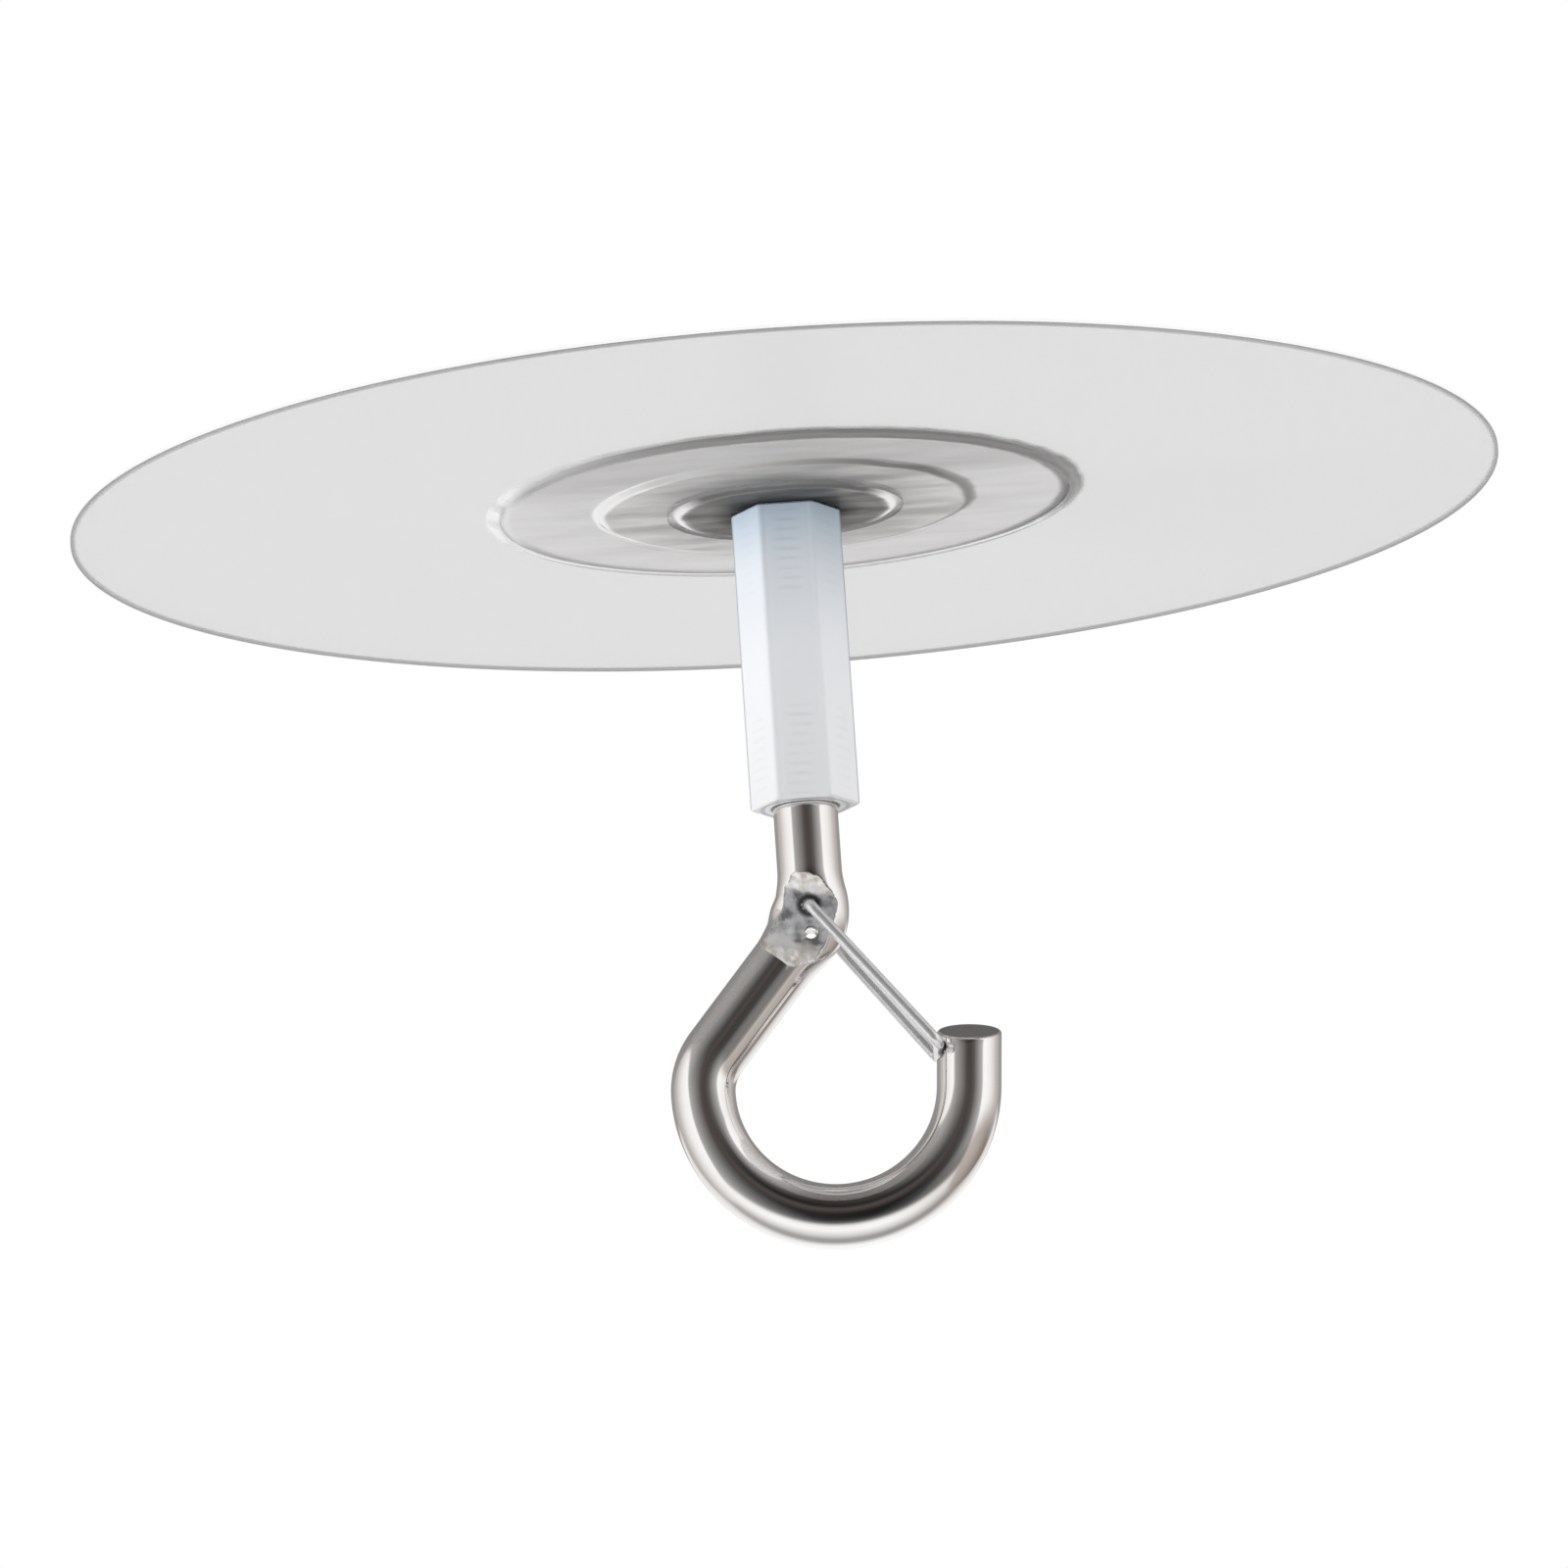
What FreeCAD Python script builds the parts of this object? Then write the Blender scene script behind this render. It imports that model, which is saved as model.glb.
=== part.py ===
# Adhesive ceiling hook for light hanging loads.
# A clear film disc sticks to the ceiling and traps a pressed steel plate against it. The plate's
# stud holds a hexagonal nylon standoff, and a bent steel bar hook screws into the standoff's lower
# end. A sprung wire gate, pivoted in the hook's pressed neck, closes the hook's mouth.
# Frame: millimetres, +Z up, origin at the centre of the adhesive face that meets the ceiling.
# The hook lies in the XZ plane, with its mouth and tip towards +X.
import FreeCAD, Part
import math
import os

from FreeCAD import Vector

# Clear film and its adhesive
film_diameter = 100.0
film_thickness = 0.25
adhesive_thickness = 0.20
film_ramp = 0.80  # run over which the film drops from the ceiling to the plate's face
film_edge_gap = 0.10  # from the plate's rim to the foot of that ramp
film_hole_margin = 0.30  # from the boss's flank to the film's centre hole

# Pressed steel plate: a flat rim, a raised ring and a raised boss
plate_diameter = 40.0
plate_thickness = 0.40
ring_diameter = 26.0
boss_diameter = 15.4
ring_drop = 0.30
boss_drop = 0.30
step_run = 0.50  # horizontal run of each pressed step

# Threads, drawn as plain cylinders
thread_diameter = 4.0
thread_clearance = 0.05  # radial, between a male thread and its bore
thread_chamfer = 0.45

# Stud, its flat head housed in the hollow of the boss
stud_head_diameter = 10.0
stud_head_gap = 0.05  # between the head and the adhesive
stud_head_chamfer = 0.20
stud_reach = 6.0  # into the standoff
plate_hole_clearance = 0.10  # radial, round the stud

# Hexagonal nylon standoff, tapped from both ends
standoff_across_flats = 6.7
standoff_length = 21.2
standoff_corner_radius = 0.40
bore_depth = 7.0
bore_mouth_chamfer = 0.45
drill_point_angle = 118.0

# Bent bar hook
bar_diameter = 4.5
shank_reach = 6.0  # threaded length inside the standoff
neck_drop = 8.2  # from the standoff to the corner of the neck bend
neck_bend_radius = 5.5
leg_angle = 40.0  # lean of the leg from the shank's axis
shoulder_radius = 4.7  # centreline bend between the leg and the bowl
bowl_inner_radius = 7.0
bowl_offset = 0.83  # bowl's centre from the shank's axis, towards the tip
tip_lean = 4.0  # outward lean of the tip
tip_rise = 3.3  # tip's end above the bowl's centre
tip_cut_angle = 24.0  # slant of the cut end, lower on the -Y side
tip_edge_radius = 0.20

# Neck, pressed flat between two dies
neck_thickness = 2.7
neck_spread = 1.0  # how much wider than the bar the neck becomes
neck_run = 1.8  # straight length beyond the bend over which the bar spreads
neck_flat_length = 4.2
neck_ramp_length = 1.3
neck_die_shift = 0.5  # of the dies' middle past the middle of the bend
neck_section_count = 9
hole_pitch = 1.9  # between the two cross holes
hole_offset = -0.2  # from the shank's axis

# Wire gate
gate_wire_diameter = 0.80
gate_pin_clearance = 0.075  # radial, in the pivot hole
gate_pin_gap = 0.40  # between the ends of the two pins
gate_side_clearance = 0.15  # between a leg and the neck's flat
gate_bend_radius = 0.60
gate_end_width = 5.6  # between the legs' centrelines at the closed end

# Groove across the inside of the tip, where the closed gate rests
groove_below_tip = 1.5
groove_clearance = 0.25  # radial, round the wire
gate_seat_gap = 0.10  # between the closed gate and the groove's wall

# Heights and radii that follow from the sizes above
up = Vector(0, 0, 1)
across = Vector(0, 1, 0)
plate_radius = plate_diameter / 2
ring_radius = ring_diameter / 2
boss_radius = boss_diameter / 2
rim_face = -(adhesive_thickness + plate_thickness)
ring_face = rim_face - ring_drop
boss_face = ring_face - boss_drop
standoff_bottom = boss_face - standoff_length
bore_radius = thread_diameter / 2
male_radius = bore_radius - thread_clearance
bar_radius = bar_diameter / 2
wire_radius = gate_wire_diameter / 2
bowl_radius = bowl_inner_radius + bar_radius

# Hook centreline in the XZ plane
lean = math.radians(leg_angle)
neck_corner = Vector(0, 0, standoff_bottom - neck_drop)
bend_centre = neck_corner + Vector(-neck_bend_radius, 0, neck_bend_radius * math.tan(lean / 2))
neck_length = neck_bend_radius * lean + 2 * neck_run
bowl_left = bowl_offset - bowl_radius
leg_fall = (shoulder_radius * (1 - math.cos(lean)) - bowl_left * math.cos(lean)) / math.sin(lean)
bowl_centre = Vector(bowl_offset, 0, neck_corner.z - leg_fall)
shoulder_centre = Vector(bowl_left + shoulder_radius, 0, bowl_centre.z)
shoulder_start = shoulder_centre + Vector(-math.cos(lean), 0, math.sin(lean)) * shoulder_radius
bowl_start = Vector(bowl_left, 0, bowl_centre.z)
tip_tilt = math.radians(tip_lean)
tip_direction = Vector(math.sin(tip_tilt), 0, math.cos(tip_tilt))
tip_outward = Vector(math.cos(tip_tilt), 0, -math.sin(tip_tilt))
tip_start = bowl_centre + tip_outward * bowl_radius
tip_length = (tip_rise + bowl_radius * math.sin(tip_tilt)) / math.cos(tip_tilt)
tip_end = tip_start + tip_direction * tip_length

# Gate pivot, groove and closed position
pivot = neck_corner + Vector(hole_offset, 0, hole_pitch / 2)
second_hole = neck_corner + Vector(hole_offset, 0, -hole_pitch / 2)
groove_centre = tip_end - tip_direction * groove_below_tip - tip_outward * bar_radius
gate_line = (groove_centre - pivot).normalize()
closing = Vector(-gate_line.z, 0, gate_line.x)
gate_end = groove_centre + closing * (groove_clearance - gate_seat_gap)


def rounded_edges(points, radius):
    """Straight edges through the points, each corner rounded as far as its runs allow."""
    edges = []
    start = points[0]
    for before, corner, after in zip(points, points[1:], points[2:]):
        run_in = (corner - before).normalize()
        run_out = (after - corner).normalize()
        half_turn = run_in.getAngle(run_out) / 2
        shorter_run = min((corner - before).Length, (after - corner).Length)
        setback = min(radius * math.tan(half_turn), 0.45 * shorter_run)
        bend = setback / math.tan(half_turn)
        inward = (run_out - run_in).normalize()
        middle = corner + inward * (bend / math.cos(half_turn) - bend)
        finish = corner + run_out * setback
        edges.append(Part.makeLine(start, corner - run_in * setback))
        edges.append(Part.Arc(corner - run_in * setback, middle, finish).toShape())
        start = finish
    edges.append(Part.makeLine(start, points[-1]))
    return edges


def turned(outline):
    """Solid of revolution about Z from a closed outline of (radius, height) pairs."""
    points = [Vector(radius, 0, height) for radius, height in outline]
    face = Part.Face(Part.makePolygon(points + points[:1]))
    return face.revolve(Vector(0, 0, 0), up, 360)


def turned_sheet(lower_line, thickness):
    """Pressed sheet, turned about Z, from the (radius, height) pairs of its lower face."""
    upper_line = [(radius, height + thickness) for radius, height in reversed(lower_line)]
    return turned(lower_line + upper_line)


def make_adhesive_sheet():
    return Part.makeCylinder(film_diameter / 2, adhesive_thickness, up * -adhesive_thickness)


def make_face_film():
    """Film with a blister pressed round the plate and a hole for the plate's boss."""
    ramp_foot = plate_radius + film_edge_gap
    lower_line = [
        (boss_radius + step_run / 2 + film_hole_margin, ring_face - film_thickness),
        (ring_radius - step_run / 2, ring_face - film_thickness),
        (ring_radius + step_run / 2, rim_face - film_thickness),
        (ramp_foot, rim_face - film_thickness),
        (ramp_foot + film_ramp, -adhesive_thickness - film_thickness),
        (film_diameter / 2, -adhesive_thickness - film_thickness),
    ]
    return turned_sheet(lower_line, film_thickness)


def make_base_plate():
    """Round plate pressed down in two steps, with a centre hole for the stud."""
    lower_line = [
        (bore_radius + plate_hole_clearance, boss_face),
        (boss_radius - step_run / 2, boss_face),
        (boss_radius + step_run / 2, ring_face),
        (ring_radius - step_run / 2, ring_face),
        (ring_radius + step_run / 2, rim_face),
        (plate_radius, rim_face),
    ]
    return turned_sheet(lower_line, plate_thickness)


def make_base_stud():
    """Flat-headed stud: the head bears on the boss's upper face and the thread hangs down."""
    head_radius = stud_head_diameter / 2
    head_top = -adhesive_thickness - stud_head_gap
    head_seat = boss_face + plate_thickness
    end = boss_face - stud_reach
    return turned([
        (0, head_top),
        (head_radius - stud_head_chamfer, head_top),
        (head_radius, head_top - stud_head_chamfer),
        (head_radius, head_seat),
        (male_radius, head_seat),
        (male_radius, end + thread_chamfer),
        (male_radius - thread_chamfer, end),
        (0, end),
    ])


def standoff_bore(mouth, inwards):
    """Tapping drill hole with a countersunk mouth; inwards is -1 from the top and +1 from below."""
    point_depth = bore_radius / math.tan(math.radians(drill_point_angle / 2))
    return turned([
        (0, mouth),
        (bore_radius + bore_mouth_chamfer, mouth),
        (bore_radius, mouth + inwards * bore_mouth_chamfer),
        (bore_radius, mouth + inwards * bore_depth),
        (0, mouth + inwards * (bore_depth + point_depth)),
    ])


def make_hex_standoff():
    """Hexagon bar with one flat facing -Y and a blind bore in each end."""
    corner = standoff_across_flats / math.sqrt(3)
    turns = [math.radians(60 * step) for step in range(7)]
    outline = [Vector(corner * math.cos(a), corner * math.sin(a), standoff_bottom) for a in turns]
    bar = Part.Face(Part.makePolygon(outline)).extrude(up * standoff_length)
    upright = [edge for edge in bar.Edges if edge.BoundBox.ZLength > standoff_length / 2]
    bar = bar.makeFillet(standoff_corner_radius, upright)
    return bar.cut([standoff_bore(boss_face, -1), standoff_bore(standoff_bottom, 1)])


def bar_disc(centre, direction):
    return Part.Face(Part.Wire(Part.makeCircle(bar_radius, centre, direction)))


def neck_frame(travel):
    """Point, heading and in-plane normal of the centreline at a distance along the neck."""
    turn = min(max((travel - neck_run) / neck_bend_radius, 0), lean)
    heading = Vector(-math.sin(turn), 0, -math.cos(turn))
    normal = Vector(math.cos(turn), 0, -math.sin(turn))
    off_bend = min(travel - neck_run, 0) + max(travel - neck_length + neck_run, 0)
    return bend_centre + normal * neck_bend_radius + heading * off_bend, heading, normal


def make_shank():
    """Threaded end inside the standoff and the plain bar below it, down to the neck."""
    thread_top = standoff_bottom + shank_reach
    neck_top = neck_frame(0)[0].z
    return turned([
        (0, thread_top),
        (male_radius - thread_chamfer, thread_top),
        (male_radius, thread_top - thread_chamfer),
        (male_radius, standoff_bottom),
        (bar_radius, standoff_bottom),
        (bar_radius, neck_top),
        (0, neck_top),
    ])


def make_neck_swell():
    """Length of bar that the dies squeeze: thinner across Y and wider in the hook's plane."""
    squeezed = (bar_radius + neck_thickness / 2) / 2
    sections = []
    for step in range(neck_section_count):
        share = step / (neck_section_count - 1)
        press = math.sin(math.pi * share) ** 2
        centre, heading, normal = neck_frame(neck_length * share)
        side = centre + normal * (bar_radius + press * neck_spread / 2)
        face = centre + across * (bar_radius + press * (squeezed - bar_radius))
        sections.append(Part.Wire(Part.Ellipse(side, face, centre).toShape()))
    return Part.makeLoft(sections, True)


def neck_die(side):
    """What one die presses away: a flat with a ramp at each end. Side is -1 or +1 along Y."""
    middle, heading, normal = neck_frame(neck_length / 2)
    centre = middle + heading * neck_die_shift
    flat = neck_thickness / 2
    half = neck_flat_length / 2
    slope = neck_ramp_length / (bar_radius - flat)
    outer = half + slope * bar_radius
    outline = [(-half, flat), (half, flat), (outer, flat + bar_radius), (-outer, flat + bar_radius)]
    corners = [centre + heading * along + across * side * out for along, out in outline]
    face = Part.Face(Part.makePolygon(corners + corners[:1]))
    return face.translated(normal * -bar_diameter).extrude(normal * 2 * bar_diameter)


def make_tip():
    """Straight end of the bar, cut off on a slant and softened round the cut."""
    cut_slant = math.radians(tip_cut_angle)
    cut_normal = tip_direction * math.cos(cut_slant) - across * math.sin(cut_slant)
    bar = bar_disc(tip_start, tip_direction).extrude(tip_direction * (tip_length + bar_diameter))
    reach = 4 * bar_diameter
    waste = Part.makeBox(reach, reach, reach, Vector(-reach / 2, -reach / 2, 0))
    waste.Placement = FreeCAD.Placement(tip_end, FreeCAD.Rotation(up, cut_normal))
    bar = bar.cut(waste)
    rim = [edge for edge in bar.Edges if abs((edge.CenterOfMass - tip_end).dot(cut_normal)) < 1e-6]
    return bar.makeFillet(tip_edge_radius, rim)


def cross_pin(centre, radius):
    """Cylinder along Y, longer than the bar is thick."""
    return Part.makeCylinder(radius, 2 * bar_diameter, centre - across * bar_diameter, across)


def make_hook():
    """Bar bent into a hook, pressed at the neck, drilled for the gate and grooved at the tip."""
    neck_bottom, leg_direction, leg_normal = neck_frame(neck_length)
    leg = bar_disc(neck_bottom, leg_direction).extrude(shoulder_start - neck_bottom)
    shoulder = bar_disc(shoulder_start, leg_direction).revolve(shoulder_centre, -across, leg_angle)
    bowl = bar_disc(bowl_start, -up).revolve(bowl_centre, -across, 180 - tip_lean)
    bar = make_shank().fuse([make_neck_swell(), leg, shoulder, bowl, make_tip()])
    hole_radius = wire_radius + gate_pin_clearance
    holes = [cross_pin(pivot, hole_radius), cross_pin(second_hole, hole_radius)]
    groove = cross_pin(groove_centre, wire_radius + groove_clearance)
    return bar.cut([neck_die(-1), neck_die(1), groove] + holes).Solids[0]


def make_wire_gate():
    """One length of spring wire: a pin, a leg, the closing bar, the other leg and its pin."""
    pin_end = gate_pin_gap / 2
    leg_root = neck_thickness / 2 + gate_side_clearance + wire_radius
    leg_end = gate_end_width / 2
    near_side = [pivot - across * pin_end, pivot - across * leg_root, gate_end - across * leg_end]
    far_side = [gate_end + across * leg_end, pivot + across * leg_root, pivot + across * pin_end]
    path = Part.Wire(rounded_edges(near_side + far_side, gate_bend_radius))
    section = Part.Wire(Part.makeCircle(wire_radius, near_side[0], across))
    return path.makePipeShell([section], True, False)


pieces = {
    "adhesive_sheet": make_adhesive_sheet(),
    "face_film": make_face_film(),
    "base_plate": make_base_plate(),
    "base_stud": make_base_stud(),
    "hex_standoff": make_hex_standoff(),
    "hook": make_hook(),
    "wire_gate": make_wire_gate(),
}
os.makedirs("parts", exist_ok=True)
for name, shape in pieces.items():
    shape.exportStep("parts/" + name + ".step")
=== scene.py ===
import math

import bmesh
import bpy
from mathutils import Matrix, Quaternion, Vector, noise


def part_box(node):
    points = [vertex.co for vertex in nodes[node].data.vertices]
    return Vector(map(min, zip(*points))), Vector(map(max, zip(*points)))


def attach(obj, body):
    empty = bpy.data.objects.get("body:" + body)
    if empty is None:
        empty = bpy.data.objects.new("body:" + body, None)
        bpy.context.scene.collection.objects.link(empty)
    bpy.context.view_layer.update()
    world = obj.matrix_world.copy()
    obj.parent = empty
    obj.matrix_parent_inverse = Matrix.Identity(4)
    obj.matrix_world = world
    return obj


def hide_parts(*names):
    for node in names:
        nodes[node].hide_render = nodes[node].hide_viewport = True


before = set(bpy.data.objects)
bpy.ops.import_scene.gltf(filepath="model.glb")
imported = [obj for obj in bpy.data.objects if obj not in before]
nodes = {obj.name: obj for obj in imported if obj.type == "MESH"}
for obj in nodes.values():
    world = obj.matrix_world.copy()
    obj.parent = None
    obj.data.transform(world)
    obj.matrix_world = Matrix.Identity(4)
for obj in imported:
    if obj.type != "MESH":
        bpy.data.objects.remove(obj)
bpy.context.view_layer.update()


# Clear adhesive
# The disc that sticks to the ceiling is a sheet of clear acrylic gel, cast flat and die-cut with the
# film below it. It carries the film and the plate, and shows as a faint veil with a cut edge.
mm = 0.001
film_low, film_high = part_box("face_film")
gel_low, gel_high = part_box("adhesive_sheet")
film_radius = min(film_high.x, -film_low.x, film_high.y, -film_low.y)
layer_gap = 0.02 * mm
gel_edge = film_radius - layer_gap
gel_under = gel_low.z + layer_gap
gel_cloud_width = 11.1 * mm
disc_steps = 256
crease_angle = math.radians(30)


def add_piece(name, rings, joined=False):
    """Makes a mesh of rings of equal length: the ends are capped, or the last ring joins the first."""
    count = len(rings[0])
    points = [point for ring in rings for point in ring]
    spans = len(rings) if joined else len(rings) - 1
    faces = []
    for i in range(spans):
        low, high = i * count, (i + 1) % len(rings) * count
        faces += [(low + k, low + (k + 1) % count, high + (k + 1) % count, high + k) for k in range(count)]
    if not joined:
        faces.append(tuple(reversed(range(count))))
        faces.append(tuple(range(spans * count, spans * count + count)))
    mesh = bpy.data.meshes.new(name)
    mesh.from_pydata(points, [], faces)
    shell = bmesh.new()
    shell.from_mesh(mesh)
    bmesh.ops.recalc_face_normals(shell, faces=shell.faces)
    shell.to_mesh(mesh)
    shell.free()
    mesh.shade_smooth()
    mesh.set_sharp_from_angle(angle=crease_angle)
    piece = bpy.data.objects.new(name, mesh)
    bpy.context.scene.collection.objects.link(piece)
    return piece


def circle(radius, height, steps):
    """Ring of points round the part's upright axis."""
    turns = [2 * math.pi * k / steps for k in range(steps)]
    return [Vector((radius * math.cos(a), radius * math.sin(a), height)) for a in turns]


def linear(hex_colour):
    """Turns an sRGB hex value into the linear colour that a shader takes."""
    parts = [int(hex_colour[i : i + 2], 16) / 255 for i in (1, 3, 5)]
    return [c / 12.92 if c <= 0.04045 else ((c + 0.055) / 1.055) ** 2.4 for c in parts] + [1.0]


def add_node(tree, kind, settings=None, inputs=None, links=None, stops=None, out=None):
    """Adds a shader node and gives the output that is named, or else the first one in use.

    A stop is a place on a ramp with its hex colour or plain value."""
    node = tree.nodes.new(kind)
    for name, value in (settings or {}).items():
        setattr(node, name, value)
    for name, value in (inputs or {}).items():
        node.inputs[name].default_value = value
    for name, source in (links or {}).items():
        tree.links.new(source, node.inputs[name])
    if stops:
        elements = node.color_ramp.elements
        while len(elements) < len(stops):
            elements.new(1.0)
        for element, (place, colour) in zip(elements, stops):
            element.position = place
            element.color = linear(colour) if isinstance(colour, str) else (colour, colour, colour, 1.0)
    if out:
        return node.outputs[out]
    return next((socket for socket in node.outputs if socket.enabled), None)


def new_material(name, settings):
    """Starts a material with one principled shader, and gives the material, its tree and the shader."""
    material = bpy.data.materials.new(name)
    material.use_nodes = True
    tree = material.node_tree
    shader = tree.nodes["Principled BSDF"]
    for socket, value in settings.items():
        shader.inputs[socket].default_value = value
    return material, tree, shader


def dress(piece, material):
    """Gives a piece its one material."""
    piece.data.materials.clear()
    piece.data.materials.append(material)


# Cast gel is nearly clear and a little cloudy: the eye sees only a faint, even veil on the ceiling.
gel, tree, shader = new_material("clear_acrylic_gel_cast", {"Roughness": 0.3, "IOR": 1.47, "Alpha": 0.05})
place = add_node(tree, "ShaderNodeTexCoord", out="Object")
cloud = add_node(tree, "ShaderNodeTexNoise", inputs={"Scale": 1 / gel_cloud_width, "Detail": 3.0},
                 links={0: place})
colour = add_node(tree, "ShaderNodeValToRGB", links={0: cloud}, stops=[(0.3, "#D5D6D6"), (0.7, "#DDDEDE")])
tree.links.new(colour, shader.inputs["Base Color"])

adhesive = add_piece("clear_adhesive_disc", [
    circle(gel_edge / 2, gel_under, disc_steps),
    circle(gel_edge, gel_under, disc_steps),
    circle(gel_edge, gel_high.z, disc_steps),
    circle(gel_edge / 2, gel_high.z, disc_steps),
])
dress(adhesive, gel)
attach(adhesive, "hanger")
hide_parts("adhesive_sheet")


# Face film
# A disc of clear vinyl, calendered and die-cut, laid over the plate and pressed down round it. It is
# drawn tight over the plate's rim and ring, and the boss comes through a hole in its middle.
film_thickness = 0.25 * mm
plate_edge = 20.0 * mm
ring_edge = 13.0 * mm
boss_edge = 7.7 * mm
film_hole_gap = 0.55 * mm
half_run = 0.25 * mm
ring_drop = 0.30 * mm
press_round = 0.4 * mm
press_round_steps = 5
flat_face = -0.45 * mm
lap_start = plate_edge + 0.1 * mm
lap_end = lap_start + 0.8 * mm
pucker_width = 2.38 * mm
pucker_sway = 0.25 * mm
left_highlight_start = -17.5 * mm
left_highlight_full = -19.5 * mm


def rounded(points, radius):
    """Rounds the corners of an open line of (radius, height) points as far as its runs allow."""
    longest_setback = 0.45
    line = [Vector(points[0])]
    for before, corner, after in zip(points, points[1:], points[2:]):
        corner = Vector(corner)
        run_in = corner - Vector(before)
        run_out = Vector(after) - corner
        half = run_in.angle(run_out) / 2
        shorter_run = min(run_in.length, run_out.length)
        setback = min(radius * math.tan(half), longest_setback * shorter_run)
        first = corner - run_in.normalized() * setback
        last = corner + run_out.normalized() * setback
        for step in range(press_round_steps + 1):
            share = step / press_round_steps
            line.append(first.lerp(corner, share).lerp(corner.lerp(last, share), share))
    line.append(Vector(points[-1]))
    return line


film_under = rounded([
    (boss_edge + film_hole_gap, film_low.z),
    (ring_edge - half_run, film_low.z),
    (ring_edge + half_run, film_low.z + ring_drop),
    (lap_start, film_low.z + ring_drop),
    (lap_end, flat_face),
    (film_radius, flat_face),
], press_round)
film_over = [point + Vector((0, film_thickness - layer_gap)) for point in reversed(film_under)]
film_rings = [circle(p.x, p.y, disc_steps) for p in film_under + film_over]
film = add_piece("face_film_disc", film_rings, joined=True)


def from_axis(tree, place):
    """Distance from the part's upright axis."""
    level = add_node(tree, "ShaderNodeVectorMath", {"operation": "MULTIPLY"}, {1: (1, 1, 0)}, {0: place})
    return add_node(tree, "ShaderNodeVectorMath", {"operation": "LENGTH"}, links={0: level})


def to_near_right(tree, place):
    """0 on the far left side of the plate's edge, 1 on its near right side."""
    slant = add_node(tree, "ShaderNodeVectorMath", {"operation": "DOT_PRODUCT"}, {1: (0.65, -0.65, 0)},
                     {0: place})
    return add_node(tree, "ShaderNodeMapRange", {"interpolation_type": "SMOOTHSTEP"},
                    {"From Min": -0.25 * plate_edge, "From Max": 0.7 * plate_edge}, {0: slant})


def to_left_end(tree, place):
    """1 at the far left end of the plate's edge, where the film and the plate's edge get a painted highlight.
    """
    across_plate = add_node(tree, "ShaderNodeSeparateXYZ", links={0: place}, out="X")
    return add_node(tree, "ShaderNodeMapRange", {"interpolation_type": "SMOOTHSTEP"},
                    {"From Min": left_highlight_start, "From Max": left_highlight_full}, {0: across_plate})


# Calendered vinyl is clear with a satin skin: the eye sees a pale grey veil, a band of painted
# shade where it goes over the plate's edge on the near right, a painted highlight in white flecks at the far
# left of that edge, and a grey line at its cut edge.
vinyl, tree, shader = new_material("clear_vinyl_calendered", {
    "Roughness": 0.35, "IOR": 1.53, "Specular IOR Level": 0.3})
place = add_node(tree, "ShaderNodeTexCoord", out="Object")
pucker = add_node(tree, "ShaderNodeTexNoise", inputs={"Scale": 1 / pucker_width, "Detail": 2.0},
                  links={0: place})
sway = add_node(tree, "ShaderNodeMapRange", inputs={"To Min": -pucker_sway, "To Max": pucker_sway},
                links={0: pucker})
off_axis = from_axis(tree, place)
reach = add_node(tree, "ShaderNodeMath", {"operation": "ADD"}, links={0: off_axis, 1: sway})
share = add_node(tree, "ShaderNodeMath", {"operation": "DIVIDE"}, {1: film_radius}, {0: reach})
near_right = to_near_right(tree, place)

# The film goes over the plate's edge between these shares of its radius.
lap_low = lap_start / film_radius
lap_high = lap_end / film_radius
before_lap = lap_low - 0.006
lap_foot = lap_high - 0.003
past_lap = lap_high + 0.002
flat_tint = "#BEBFBF"
plate_veil = 0.05
flat_veil = 0.205
# The lap is painted darker and more opaque on the near right than on the far left: painted shade.
hidden_lap = add_node(tree, "ShaderNodeValToRGB", links={0: share}, stops=[
    (before_lap, flat_tint), (lap_low, "#C0C0C0"), (lap_foot, "#C6C6C6"), (past_lap, flat_tint)])
painted_shade_lap = add_node(tree, "ShaderNodeValToRGB", links={0: share}, stops=[
    (before_lap, flat_tint), (lap_low, "#8A8988"), (lap_low + 0.008, "#AEADAC"),
    (lap_foot, "#929190"), (past_lap, flat_tint)])
tint = add_node(tree, "ShaderNodeMix", {"data_type": "RGBA"},
                links={"Factor": near_right, "A": hidden_lap, "B": painted_shade_lap})
hidden_veil = add_node(tree, "ShaderNodeValToRGB", links={0: share}, stops=[
    (before_lap, plate_veil), (lap_low, 0.4), (lap_foot, 0.3), (past_lap, flat_veil)])
painted_shade_veil = add_node(tree, "ShaderNodeValToRGB", links={0: share}, stops=[
    (before_lap, plate_veil), (lap_low, 0.8), (lap_foot, 0.8), (past_lap, flat_veil)])
veil = add_node(tree, "ShaderNodeMix", {"data_type": "RGBA"},
                links={"Factor": near_right, "A": hidden_veil, "B": painted_shade_veil})

# Painted highlight: white flecks on the lap at the far left end of the plate's edge.
on_lap = add_node(tree, "ShaderNodeValToRGB", links={0: share}, stops=[
    (lap_low - 0.004, 0.0), (lap_low, 1.0), (lap_high, 1.0), (past_lap, 0.0)])
painted_left_highlight = add_node(tree, "ShaderNodeMath", {"operation": "MULTIPLY"},
               links={0: to_left_end(tree, place), 1: on_lap})
highlight_flecks = add_node(tree, "ShaderNodeValToRGB", links={0: pucker}, stops=[(0.42, 0.2), (0.55, 1.0)])
painted_left_highlight = add_node(tree, "ShaderNodeMath", {"operation": "MULTIPLY"}, links={0: painted_left_highlight, 1: highlight_flecks})
tint = add_node(tree, "ShaderNodeMix", {"data_type": "RGBA"}, {"B": linear("#FFFFFF")},
                {"Factor": painted_left_highlight, "A": tint})

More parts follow.
